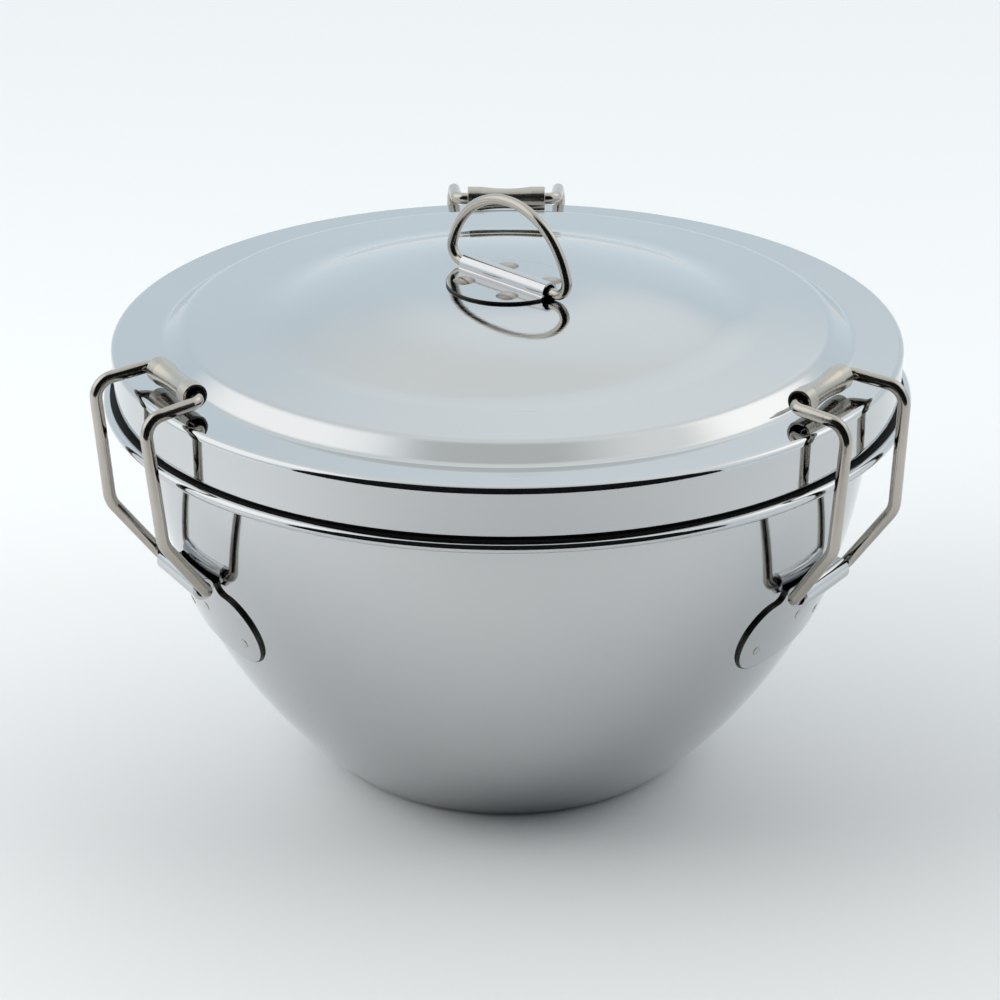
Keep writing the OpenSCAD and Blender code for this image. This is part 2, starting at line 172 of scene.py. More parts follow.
DOME_SAG = DOME_H - (RING_Z0 - DOME_D / 2 * math.tan(RING_SLOPE))
DOME_R = ((DOME_D / 2 - DOME_FLAT_R) ** 2 + DOME_SAG**2) / (2 * DOME_SAG)
DOME_CZ = DOME_H - DOME_R
PLATE_Z = LAND_Z + DOME_H + PLATE_GAP
PLATE_TOP = PLATE_Z + PLATE_SHEET
TUNNEL_IN_R = RING_WIRE_R + TUNNEL_GAP
TUNNEL_OUT_R = TUNNEL_IN_R + PLATE_SHEET
RING_AXIS_Z = LAND_Z + DOME_H + RING_LID_GAP + RING_WIRE_R
KNUCKLE_IN_R = BAIL_WIRE_R + KNUCKLE_GAP
KNUCKLE_OUT_R = KNUCKLE_IN_R + BRACKET_SHEET
BRACKET_TOP_Z = PIVOT_H + KNUCKLE_OUT_R / 3
WAIST_R = BAIL_WIRE_R + WAIST_GAP + ROLLER_SHEET
ROLLER_AXIS = Vector((LID_R - ROLLER_INSET, 0, LAND_Z + ROLLER_GAP + ROLLER_R))


def wall_at(height, proud=0.0):
    """Radius of the bowl's outside at a height, or of a face that stands proud of it."""
    return WALL_C.x + math.sqrt((WALL_R + proud) ** 2 - (height - WALL_C.y) ** 2)


PIVOT_R = wall_at(PIVOT_H) + WELD_GAP + KNUCKLE_STANDOFF + KNUCKLE_OUT_R


class Shape:
    """Faces with a normal at each of their corners, gathered into one mesh."""

    def __init__(self):
        self.points = []
        self.faces = []
        self.normals = []
        self.known = {}

    def point(self, place):
        key = tuple(round(x, MERGE_DIGITS) for x in place)
        if key not in self.known:
            self.known[key] = len(self.points)
            self.points.append(Vector(place))
        return self.known[key]

    def face(self, places, normals):
        """Adds a face that looks along its normals; corners in one place are one corner."""
        corners = []
        for place, normal in zip(places, normals):
            number = self.point(place)
            if number not in [c[0] for c in corners]:
                corners.append((number, Vector(normal).normalized()))
        if len(corners) < 3:
            return
        a, b, c = (self.points[n] for n, _ in corners[:3])
        facing = (b - a).cross(c - a)
        if facing.dot(sum((n for _, n in corners), Vector((0, 0, 0)))) < 0:
            corners.reverse()
        self.faces.append([n for n, _ in corners])
        self.normals.extend(n for _, n in corners)

    def grid(self, rows):
        """Joins neighbouring rows of (place, normal) pairs."""
        for low, high in zip(rows, rows[1:]):
            for i in range(len(low) - 1):
                cell = (low[i], low[i + 1], high[i + 1], high[i])
                self.face([c[0] for c in cell], [c[1] for c in cell])

    def fan(self, edge, normal):
        """Closes a flat outline."""
        middle = sum((Vector(p) for p in edge), Vector((0, 0, 0))) / len(edge)
        for a, b in zip(edge, edge[1:] + edge[:1]):
            self.face([a, b, middle], [normal] * 3)

    def piece(self, name, material, matrix=Matrix.Identity(4), lay=None):
        """Makes the object; lay gives each point its place along or round the finish."""
        mesh = bpy.data.meshes.new(name)
        mesh.from_pydata([(matrix @ p) * MM for p in self.points], [], self.faces)
        turn = matrix.to_3x3()
        mesh.shade_smooth()
        mesh.normals_split_custom_set([turn @ n for n in self.normals])
        mesh.materials.append(material)
        if lay:
            values = mesh.attributes.new("lay", "FLOAT", "POINT").data
            values.foreach_set("value", [lay(p) * MM for p in self.points])
        made = bpy.data.objects.new(name, mesh)
        bpy.context.scene.collection.objects.link(made)
        return made


# Outlines are lists of (point, outward normal) in a plane
def unit_at(angle):
    return Vector((math.cos(angle), math.sin(angle)))


def arc(centre, radius, start, end, steps, side=1):
    """Arc with normals on the right of the way along it, or on the left for side -1."""
    facing = side if end > start else -side
    angles = [start + (end - start) * i / steps for i in range(steps + 1)]
    return [(Vector(centre) + radius * unit_at(a), facing * unit_at(a)) for a in angles]


def rounded(before, corner, after, radius, steps, side=1):
    """Arc that rounds a corner between two straight lines."""
    u = (Vector(before) - Vector(corner)).normalized()
    v = (Vector(after) - Vector(corner)).normalized()
    half = math.acos(u.dot(v)) / 2
    middle = Vector(corner) + (u + v).normalized() * radius / math.sin(half)
    first = Vector(corner) + u * radius / math.tan(half) - middle
    start = math.atan2(first.y, first.x)
    turn = math.pi - 2 * half
    if u.x * v.y - u.y * v.x > 0:
        turn = -turn
    return arc(middle, radius, start, start + turn, steps, side)


def inside(outline, thickness):
    """The other face of a sheet, run the other way."""
    return [(p - n * thickness, -n) for p, n in reversed(outline)]


def lathe_rows(outline, steps=LATHE_STEPS):
    """Turns an outline of (radius, height) once round Z."""
    rows = []
    for p, n in outline:
        row = []
        for i in range(steps + 1):
            angle = 2 * math.pi * (i % steps) / steps
            c, s = math.cos(angle), math.sin(angle)
            row.append(((p.x * c, p.x * s, p.y), (n.x * c, n.x * s, n.y)))
        rows.append(row)
    return rows


def tube_rows(path, radius, closed=False):
    """Sweeps a circle along points in space, without twist."""
    count = len(path)
    rows = []
    side = None
    for i in range(count):
        before = path[i - 1] if closed or i > 0 else path[i]
        after = path[(i + 1) % count] if closed or i < count - 1 else path[i]
        along = ((path[i] - before).normalized() + (after - path[i]).normalized()).normalized()
        if side is None:
            side = along.orthogonal().normalized()
        side = (side - along * side.dot(along)).normalized()
        up = along.cross(side)
        row = []
        for k in range(WIRE_SIDES + 1):
            angle = 2 * math.pi * (k % WIRE_SIDES) / WIRE_SIDES
            out = side * math.cos(angle) + up * math.sin(angle)
            row.append((path[i] + out * radius, out))
        rows.append(row)
    return rows


# Materials: scales of patterns are per metre, and depths in metres
NOISE_LOW = 0.3
NOISE_HIGH = 0.7
SMUDGE_SCALE = 28
PATCH_DETAIL = 4
PATCH_ROUGHNESS = 0.6
GRAIN_DETAIL = 2
GRAIN_ROUGHNESS = 0.6
GRAIN_DEPTH = 0.00002
FINE_TO_COARSE = 7
SHINE_SPREAD = (0.85, 1.2)
HEAT_TINT_AND_SHADE_START = 0.5
DUST_SCALE = 90
PEBBLE_SCALE = 2500
PEBBLE_DEPTH = 0.00003
PEBBLE_STRENGTH = 0.4
RUBBER_ROUGHNESS = (0.6, 0.75)
RUBBER_GLOSS = 0.2


class Graph:
    """A node tree, with short calls for its usual nodes."""

    def __init__(self, tree):
        self.tree = tree
        tree.nodes.clear()

    def node(self, kind, values=(), **settings):
        made = self.tree.nodes.new(kind)
        for key, value in settings.items():
            setattr(made, key, value)
        for socket, value in dict(values).items():
            if isinstance(value, bpy.types.NodeSocket):
                self.tree.links.new(value, made.inputs[socket])
            else:
                made.inputs[socket].default_value = value
        return made

    def noise(self, vector, scale, detail=3.0, roughness=0.5):
        values = {"Vector": vector, "Scale": scale, "Detail": detail, "Roughness": roughness}
        return self.node("ShaderNodeTexNoise", values).outputs["Fac"]

    def spread(self, value, low, high, from_low=NOISE_LOW, from_high=NOISE_HIGH):
        """Maps a span, by default the one that a noise mostly fills, to another."""
        values = {"Value": value, "From Min": from_low, "From Max": from_high}
        values.update({"To Min": low, "To Max": high})
        return self.node("ShaderNodeMapRange", values).outputs["Result"]

    def math(self, operation, a, b):
        return self.node("ShaderNodeMath", {0: a, 1: b}, operation=operation).outputs[0]

    def mix(self, factor, a, b):
        """Mixes two colours, which are at these sockets of the node."""
        made = self.node("ShaderNodeMix", {0: factor, 6: a, 7: b}, data_type="RGBA")
        return made.outputs[2]


def steel(name, colour, tint, roughness, grain, grain_scale, anisotropic=0.0, lines="none", welded=0.0):
    """Stainless steel with a fine grain, smudges and a slight change of colour.

    The grain runs round the axis where lines is turned, and across the piece's lay where it is lay.
    A darker tint grows from the middle of a weld out to the radius welded: heat tint at the spot welds,
    and on the handle's weld buttons heat tint with painted shade at their rim.
    """
    material = bpy.data.materials.new(name)
    material.use_nodes = True
    g = Graph(material.node_tree)
    place = g.node("ShaderNodeTexCoord").outputs["Object"]
    lay = g.node("ShaderNodeAttribute", attribute_name="lay").outputs["Fac"]
    if lines == "turned":
        parts = g.node("ShaderNodeSeparateXYZ", {0: place}).outputs
        flat = g.node("ShaderNodeCombineXYZ", {"X": parts["X"], "Y": parts["Y"]}).outputs[0]
        radius = g.node("ShaderNodeVectorMath", {0: flat}, operation="LENGTH").outputs["Value"]
        grain_place = g.node("ShaderNodeCombineXYZ", {"X": radius, "Y": parts["Z"]}).outputs[0]
    elif lines == "lay":
        grain_place = g.node("ShaderNodeCombineXYZ", {"X": lay}).outputs[0]
    else:
        grain_place = place
    smudge = g.noise(place, SMUDGE_SCALE, PATCH_DETAIL, PATCH_ROUGHNESS)
    fine = g.noise(grain_place, grain_scale, GRAIN_DETAIL, GRAIN_ROUGHNESS)
    coarse = g.noise(grain_place, grain_scale / FINE_TO_COARSE, GRAIN_DETAIL, GRAIN_ROUGHNESS)
    both = g.math("ADD", fine, coarse)
    bump = g.node("ShaderNodeBump", {"Strength": grain, "Distance": GRAIN_DEPTH, "Height": both})
    if welded:
        share = g.spread(lay, 0, 1, welded * HEAT_TINT_AND_SHADE_START, welded)
    else:
        share = g.spread(smudge, 0, 1)
    shiny, dull = (roughness * part for part in SHINE_SPREAD)
    shader = g.node(
        "ShaderNodeBsdfPrincipled",
        {
            "Base Color": g.mix(share, (*colour, 1), (*tint, 1)),
            "Metallic": 1.0,
            "Roughness": g.spread(smudge, shiny, dull),
            "Anisotropic": anisotropic,
            "Normal": bump.outputs["Normal"],
        },
    )
    if lines == "turned":
        tangent = g.node("ShaderNodeTangent", direction_type="RADIAL", axis="Z")
        g.tree.links.new(tangent.outputs[0], shader.inputs["Tangent"])
    g.node("ShaderNodeOutputMaterial", {"Surface": shader.outputs[0]})
    return material


def rubber(name, colour, tint):
    """Matt moulded rubber with a fine pebble and dusty patches."""
    material = bpy.data.materials.new(name)
    material.use_nodes = True
    g = Graph(material.node_tree)
    place = g.node("ShaderNodeTexCoord").outputs["Object"]
    dust = g.noise(place, DUST_SCALE, PATCH_DETAIL, PATCH_ROUGHNESS)
    pebble = g.noise(place, PEBBLE_SCALE)
    bump_values = {"Strength": PEBBLE_STRENGTH, "Distance": PEBBLE_DEPTH, "Height": pebble}
    bump = g.node("ShaderNodeBump", bump_values)
    values = {
        "Base Color": g.mix(g.spread(dust, 0, 1), (*colour, 1), (*tint, 1)),
        "Roughness": g.spread(dust, *RUBBER_ROUGHNESS),
        "Specular IOR Level": RUBBER_GLOSS,
        "Normal": bump.outputs["Normal"],
    }
    shader = g.node("ShaderNodeBsdfPrincipled", values)
    g.node("ShaderNodeOutputMaterial", {"Surface": shader.outputs[0]})
    return material


bowl_steel = steel(
    "bowl_steel", (0.57, 0.58, 0.585), (0.55, 0.562, 0.57),
    roughness=0.06, grain=0.5, grain_scale=3000, anisotropic=0.4, lines="turned",
)
lid_steel = steel(
    "lid_steel", (0.57, 0.58, 0.585), (0.555, 0.567, 0.575),
    roughness=0.045, grain=0.3, grain_scale=3000, anisotropic=0.3, lines="turned",
)
plate_steel = steel(
    "plate_steel", (0.57, 0.575, 0.58), (0.54, 0.55, 0.56), roughness=0.08, grain=0.15, grain_scale=3000
)
wire_steel = steel(
    "wire_steel", (0.51, 0.48, 0.43), (0.41, 0.38, 0.335), roughness=0.13, grain=0.45, grain_scale=2500
)
roller_steel = steel(
    "roller_steel", (0.52, 0.49, 0.44), (0.44, 0.41, 0.36),
    roughness=0.24, grain=0.9, grain_scale=4000, lines="lay",
)
# Near-black for the plates' cut edges: painted shade and a painted dark reflection of the gap under each
# rim
edge_painted_shade = steel(
    "edge_painted_shade", (0.09, 0.085, 0.08), (0.05, 0.047, 0.044), roughness=0.4, grain=0.6, grain_scale=2500
)
# The buttons' ring is brown heat tint, darkened towards the rim as painted shade where each button meets
# the plate
button_steel = steel(
    "button_steel", (0.43, 0.41, 0.38), (0.22, 0.19, 0.155),
    roughness=0.2, grain=1.0, grain_scale=900, welded=BUTTON_R * MM,
)
nugget_steel = steel(
    "nugget_steel", (0.55, 0.55, 0.54), (0.42, 0.38, 0.32),
    roughness=0.16, grain=0.8, grain_scale=1500, welded=NUGGET_R * MM,
)
seal_rubber = rubber("seal_rubber", (0.004, 0.004, 0.004), (0.009, 0.009, 0.009))


def from_nearest(spots):
    """Gives a lay: the distance of a point from the nearest weld."""
    return lambda point: min((point - spot).length for spot in spots)


def place_piece(made, body, node):
    """Hangs a piece on its body, in place of a node of the frame."""
    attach(made, body)
    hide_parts(node)


# Bowl, seal and lid are turned round Z
def bowl_outline():
    """One sheet, turned out into a flange and rolled into a bead."""
    run = math.sqrt((WALL_R - BASE_CORNER_R) ** 2 - (WALL_C.y - BASE_CORNER_R) ** 2)
    corner = Vector((WALL_C.x + run, BASE_CORNER_R))
    low = math.atan2(corner.y - WALL_C.y, corner.x - WALL_C.x)
    under = BOWL_H - BOWL_SHEET
    turn_z = under - FLANGE_FILLET_R
    turn_run = math.sqrt((WALL_R + FLANGE_FILLET_R) ** 2 - (turn_z - WALL_C.y) ** 2)
    turn = Vector((WALL_C.x + turn_run, turn_z))
    high = math.atan2(turn.y - WALL_C.y, turn.x - WALL_C.x)
    sheet = [(Vector((0, 0)), Vector((0, -1)))]
    sheet += arc(corner, BASE_CORNER_R, -math.pi / 2, low, BEND_STEPS)
    sheet += arc(WALL_C, WALL_R, low, high, WALL_STEPS)
    sheet += arc(turn, FLANGE_FILLET_R, math.pi + high, math.pi / 2, BEND_STEPS)
    below = -math.pi + math.asin((BEAD_C.y - under) / BEAD_R)
    above = math.pi - math.asin((BOWL_H - BEAD_C.y) / BEAD_R)
    bead = arc(BEAD_C, BEAD_R, below, above, 3 * BEND_STEPS)
    foot = [(bead[0][0], Vector((0, -1)))]
    top = [(bead[-1][0], Vector((0, 1)))]
    return sheet + foot + bead + top + inside(sheet, BOWL_SHEET)


def lid_outline():
    """One sheet: dome, sloping ring, step, land and skirt, folded into a hem.

    The blend between the dome's arc and the ring's line touches both, so the radius at which its centre
    lies solves a quadratic equation.
    """
    slope = math.tan(RING_SLOPE)
    lift = RING_Z0 + DOME_BLEND_R / math.cos(RING_SLOPE) - DOME_CZ
    qa = 1 + slope**2
    qb = -DOME_FLAT_R - slope * lift
    qc = DOME_FLAT_R**2 + lift**2 - (DOME_R + DOME_BLEND_R) ** 2
    blend_x = (-qb + math.sqrt(qb**2 - qa * qc)) / qa
    blend = Vector((blend_x, RING_Z0 + DOME_BLEND_R / math.cos(RING_SLOPE) - slope * blend_x))
    lean = math.atan2(blend.x - DOME_FLAT_R, blend.y - DOME_CZ)
    ring_start = blend - DOME_BLEND_R * Vector((math.sin(RING_SLOPE), math.cos(RING_SLOPE)))
    shoulder = Vector((SHOULDER_R, STEP_H))
    foot = Vector((FOOT_R, 0))
    edge = Vector((LID_R, 0))
    hem = Vector((SKIRT_FOOT_R - HEM_R, HEM_R - SKIRT_H))
    quarter = math.pi / 2
    sheet = [(Vector((0, DOME_H)), Vector((0, 1)))]
    sheet += arc((DOME_FLAT_R, DOME_CZ), DOME_R, quarter, quarter - lean, DOME_STEPS, -1)
    sheet += arc(blend, DOME_BLEND_R, -quarter - lean, -quarter - RING_SLOPE, BEND_STEPS, -1)
    sheet += rounded(ring_start, shoulder, foot, STEP_SHOULDER_R, BEND_STEPS, -1)
    sheet += rounded(shoulder, foot, edge, STEP_FOOT_R, BEND_STEPS, -1)
    sheet += rounded(foot, edge, Vector((SKIRT_FOOT_R, hem.y)), LAND_CORNER_R, BEND_STEPS, -1)
    sheet += arc(hem, HEM_R, 0, -math.pi, 2 * BEND_STEPS, -1)
    sheet += [(hem + Vector((-HEM_R, HEM_LEAF)), Vector((-1, 0)))]
    lifted = [(p + Vector((0, LAND_Z)), n) for p, n in sheet]
    tip = lifted[-1][0]
    leaf_end = [(tip, Vector((0, 1))), (tip + Vector((LID_SHEET, 0)), Vector((0, 1)))]
    return lifted + leaf_end + inside(lifted, LID_SHEET)


bowl_shape = Shape()
bowl_shape.grid(lathe_rows(bowl_outline()))
place_piece(bowl_shape.piece("bowl_shell", bowl_steel), "bowl", "bowl")


def seal_outline():
    """The seal fills the corner between the flange and the bead, level with the bead's crest."""
    foot = BOWL_H + SEAL_GAP
    reach = BEAD_R + SEAL_GAP
    low = math.pi - math.asin((foot - BEAD_C.y) / reach)
    high = math.pi - math.asin((CREST_Z - BEAD_C.y) / reach)
    flank = arc(BEAD_C, reach, low, high, EDGE_STEPS)
    inner = flank[-1][0].x - SEAL_W
    below = [(Vector((inner, foot)), Vector((0, -1))), (flank[0][0], Vector((0, -1)))]
    above = [(flank[-1][0], Vector((0, 1))), (Vector((inner, CREST_Z)), Vector((0, 1)))]
    back = [(Vector((inner, z)), Vector((-1, 0))) for z in (CREST_Z, foot)]
    return below + flank + above + back


seal_shape = Shape()
seal_shape.grid(lathe_rows(seal_outline()))
place_piece(seal_shape.piece("seal_ring", seal_rubber), "bowl", "seal")

lid_shape = Shape()
lid_shape.grid(lathe_rows(lid_outline()))
place_piece(lid_shape.piece("lid_shell", lid_steel), "lid", "lid")


# Handle: everything is drawn along X and turned into place
HANDLE = Matrix.Rotation(HANDLE_TURN, 4, "Z")


def handle_plate():
    """A disc with a tunnel pressed across it, and its cut edge, coloured near-black as painted shade."""
    shape, edge = Shape(), Shape()
    axis = Vector((0, RING_AXIS_Z))
    fillet_y = PLATE_TOP + PLATE_FILLET_R
    reach = TUNNEL_OUT_R + PLATE_FILLET_R
    wing = math.sqrt(reach**2 - (fillet_y - RING_AXIS_Z) ** 2)
    lean = math.atan2(RING_AXIS_Z - fillet_y, wing)
    outer = arc((-wing, fillet_y), PLATE_FILLET_R, -math.pi / 2, lean, EDGE_STEPS, -1)
    outer += arc(axis, TUNNEL_OUT_R, math.pi + lean, -lean, 2 * BEND_STEPS, -1)
    outer += arc((wing, fillet_y), PLATE_FILLET_R, math.pi - lean, 3 * math.pi / 2, EDGE_STEPS, -1)
    foot = Vector((-TUNNEL_IN_R, PLATE_Z))
    inner = [(Vector((-wing, PLATE_Z)), Vector((0, -1))), (foot, Vector((0, -1))), (foot, Vector((1, 0)))]
    inner += arc(axis, TUNNEL_IN_R, math.pi, 0, 2 * BEND_STEPS, 1)
    foot = Vector((TUNNEL_IN_R, PLATE_Z))
    inner += [(foot, Vector((-1, 0))), (foot, Vector((0, -1))), (Vector((wing, PLATE_Z)), Vector((0, -1)))]
    ends = (-TUNNEL_L / 2, TUNNEL_L / 2)
    for line in (outer, inner):
        shape.grid([[((x, p.x, p.y), (0, n.x, n.y)) for p, n in line] for x in ends])
    for x in ends:
        normal = (math.copysign(1, x), 0, 0)
        count = max(len(outer), len(inner))
        rows = []
        for line in (outer, inner):
            picked = [line[round(i * (len(line) - 1) / (count - 1))] for i in range(count)]
            rows.append([((x, p.x, p.y), normal) for p, _ in picked])
        shape.grid(rows)
    turn = math.acos(wing / PLATE_R)
    steps = 3 * BEND_STEPS
    for side in (-1, 1):
        rim = [unit_at(-turn + 2 * turn * i / steps) for i in range(steps + 1)]
        for height, up in ((PLATE_TOP, 1), (PLATE_Z, -1)):
            inset = CUT_EDGE_R if up > 0 else 0
            r = PLATE_R - inset
            bow = [(r * d.y, side * max(r * d.x, wing), height) for d in rim]
            chord = [(x, side * wing, height) for x, _, _ in bow]
            shape.grid([[(p, (0, 0, up)) for p in chord], [(p, (0, 0, up)) for p in bow]])
        rows = []
        for i in range(EDGE_STEPS + 1):
            angle = math.pi / 2 * (1 - i / EDGE_STEPS)
            r = PLATE_R - CUT_EDGE_R * (1 - math.cos(angle))
            z = PLATE_TOP - CUT_EDGE_R * (1 - math.sin(angle))
            rows.append([
                ((r * d.y, side * max(r * d.x, wing), z),
                 (math.cos(angle) * d.y, side * math.cos(angle) * d.x, math.sin(angle))) for d in rim
            ])
        rows.append([((p[0], p[1], PLATE_Z), n) for p, n in rows[-1]])
        edge.grid(rows)
    return shape, edge


def handle_ring():
    """One closed loop of wire: a straight pivot, two tight corners and a round bow."""
    corner_a = math.asin((RING_CORNER_R + RING_BOW_DROP) / (RING_BOW_R - RING_CORNER_R))
    chord = (RING_BOW_R - RING_CORNER_R) * math.cos(corner_a)
    right = arc((chord, RING_CORNER_R), RING_CORNER_R, -math.pi / 2, corner_a, BEND_STEPS)
    bow = arc((0, -RING_BOW_DROP), RING_BOW_R, corner_a, math.pi - corner_a, 4 * BEND_STEPS)
    left = arc((-chord, RING_CORNER_R), RING_CORNER_R, math.pi - corner_a, 3 * math.pi / 2, BEND_STEPS)
    loop = [p for p, _ in right + bow[1:-1] + left]
    path = [Vector((p.x + RING_SHIFT, 0, p.y + RING_AXIS_Z)) for p in loop]
    rows = tube_rows(path, RING_WIRE_R, closed=True)
    shape = Shape()
    shape.grid(rows + rows[:1])
    return shape


def button_outline():
    """A low round weld bead on the plate."""
    cap_r = (BUTTON_R**2 + BUTTON_H**2) / (2 * BUTTON_H)
    spread = math.asin(BUTTON_R / cap_r)
    centre = (0, BUTTON_H - cap_r)
    quarter = math.pi / 2
    return arc(centre, cap_r, quarter - spread, quarter, BEND_STEPS, 1)


plate, plate_edge = handle_plate()
place_piece(plate.piece("handle_plate_sheet", plate_steel, HANDLE), "lid", "handle_plate")
# The plate's cut edge carries near-black painted shade
place_piece(plate_edge.piece("handle_plate_edge", edge_painted_shade, HANDLE), "lid", "handle_plate")
ring = handle_ring().piece("handle_ring_wire", wire_steel, HANDLE)
place_piece(ring, "handle", "handle_ring")

buttons = Shape()
button_spots = []
for i in range(BUTTONS):
    around = Matrix.Rotation(math.radians(360 / BUTTONS * (i + 0.5)), 4, "Z")
    spot = around @ Matrix.Translation((BUTTON_RING_R, 0, PLATE_TOP))
    turn = around.to_3x3()
    rows = lathe_rows(button_outline(), steps=4 * BEND_STEPS)
    buttons.grid([[(spot @ Vector(p), turn @ Vector(n)) for p, n in row] for row in rows])
    buttons.fan([spot @ Vector(p) for p, _ in rows[0][:-1]], (0, 0, -1))
    button_spots.append(spot.translation)
made = buttons.piece("handle_weld_buttons", button_steel, HANDLE, from_nearest(button_spots))
place_piece(made, "lid", "handle_welds")


# Clips: everything is drawn for a clip on +X, with X out, Y across and Z up
def bail_path():
    """Centre line of the bail's wire, from one end in the roller to the other."""
    half = [
        (Vector((ROLLER_AXIS.x, WIRE_END_GAP / 2, ROLLER_AXIS.z)), 0),
        (Vector((ROLLER_AXIS.x, ROLLER_L / 2 + END_PLAY + TIGHT_BEND_R, ROLLER_AXIS.z)), TIGHT_BEND_R),
        (Vector((RIM_R + CORNER_OUT, CORNER_HALF_W, LAND_Z + CORNER_UP)), CORNER_BEND_R),
        (Vector((RIM_R + BEND_OUT, BEND_HALF_W, PIVOT_H + BEND_UP)), LOWER_BEND_R),
        (Vector((PIVOT_R, KNUCKLE_L / 2 + END_PLAY + TIGHT_BEND_R, PIVOT_H)), TIGHT_BEND_R),
    ]
    other = [(Vector((p.x, -p.y, p.z)), r) for p, r in reversed(half)]
    return bent(half + other)


def bent(corners):
    """Points along straight lines with a round bend at each inner corner."""
    path = [corners[0][0]]
    for (before, _), (corner, radius), (after, _) in zip(corners, corners[1:], corners[2:]):
        u = (corner - before).normalized()
        v = (after - corner).normalized()
        turn = u.angle(v)
        start = corner - u * radius * math.tan(turn / 2)
        inward = (v - u * u.dot(v)).normalized()
        middle = start + inward * radius
        for i in range(BEND_STEPS + 1):
            a = turn * i / BEND_STEPS
            path.append(middle - inward * radius * math.cos(a) + u * radius * math.sin(a))
    path.append(corners[-1][0])
    return path


def bail():
    """One bent wire with flat ends."""
    shape = Shape()
    path = bail_path()
    rows = tube_rows(path, BAIL_WIRE_R)
    shape.grid(rows)
    shape.fan([p for p, _ in rows[0][:-1]], path[0] - path[1])
    shape.fan([p for p, _ in rows[-1][:-1]], path[-1] - path[-2])
    return shape


def roller_line():
    """Outside of a roller: a hollow waist between two straight collars."""
    depth = ROLLER_R - WAIST_R
    half = WAIST_L / 2
    steps = 3 * BEND_STEPS
    waist = []
    for i in range(steps + 1):
        across = 2 * i / steps - 1
        lean = 2 * depth * across / half
        place = Vector((WAIST_R + depth * across**2, half * across))
        waist.append((place, Vector((1, -lean)).normalized()))
    flat = Vector((1, 0))
    end = ROLLER_L / 2 - CUT_EDGE_R
    low = [(Vector((ROLLER_R, -end)), flat), (Vector((ROLLER_R, -half)), flat)]
    high = [(Vector((ROLLER_R, half)), flat), (Vector((ROLLER_R, end)), flat)]
    return low + waist + high


def roller():
    """A drawn tube with two collars and an open seam along it."""
    line = roller_line()
    ridge, end = ROLLER_R - CUT_EDGE_R, ROLLER_L / 2 - CUT_EDGE_R
    lead = arc((ridge, -end), CUT_EDGE_R, -math.pi / 2, 0, EDGE_STEPS)
    tail = arc((ridge, end), CUT_EDGE_R, 0, math.pi / 2, EDGE_STEPS)
    bore = inside(line, ROLLER_SHEET)
    far, near = (Vector((ROLLER_R - ROLLER_SHEET, s * ROLLER_L / 2)) for s in (1, -1))
    outline = lead + line[1:-1] + tail
    outline += [(far, Vector((0, 1))), (far, Vector((-1, 0)))] + bore
    outline += [(near, Vector((-1, 0))), (near, Vector((0, -1))), (lead[0][0], Vector((0, -1)))]
    half_seam = SEAM_W / 2 / ROLLER_R
    start, sweep = SEAM_TURN + half_seam, 2 * math.pi - 2 * half_seam
    steps = 4 * BEND_STEPS

    def turned(pairs, d):
        return [((p.x * d.x, p.y, p.x * d.y), (n.x * d.x, n.y, n.x * d.y)) for p, n in pairs]

    shape = Shape()
    shape.grid([turned(outline, unit_at(start + sweep * i / steps)) for i in range(steps + 1)])
    for angle, side in ((start, -1), (start + sweep, 1)):
        d = unit_at(angle)
        normal = (-side * d.y, 0, side * d.x)
        faces = [turned(line, d), turned(bore[::-1], d)]
        shape.grid([[(p, normal) for p, _ in row] for row in faces])
    return shape


def on_wall(across, height, proud):
    """Place and normal on a face that stands proud of the wall."""
    r = wall_at(height, proud)
    x = math.sqrt(r**2 - across**2)
    lean = math.asin((height - WALL_C.y) / (WALL_R + proud))
    normal = Vector((math.cos(lean) * x / r, math.cos(lean) * across / r, math.sin(lean)))
    return Vector((x, across, height)), normal


def bracket_half():
    """Right half of the bracket's outline, from its bottom edge up to the knuckle."""
    end_r = BRACKET_H / 2
    lobe = Vector((BRACKET_W / 2 - end_r, PIVOT_H - BRACKET_DROP - end_r))
    fillet_x = KNUCKLE_L / 2 + BRACKET_FILLET_R
    rise = math.sqrt((end_r + BRACKET_FILLET_R) ** 2 - (fillet_x - lobe.x) ** 2)
    fillet = Vector((fillet_x, lobe.y + rise))
    turn = math.atan2(rise, fillet_x - lobe.x)
    half = arc(lobe, end_r, -math.pi / 2, turn, 2 * BEND_STEPS)
    half += arc(fillet, BRACKET_FILLET_R, turn + math.pi, math.pi, BEND_STEPS)[1:]
    return half + [(Vector((KNUCKLE_L / 2, BRACKET_TOP_Z)), Vector((1, 0)))]


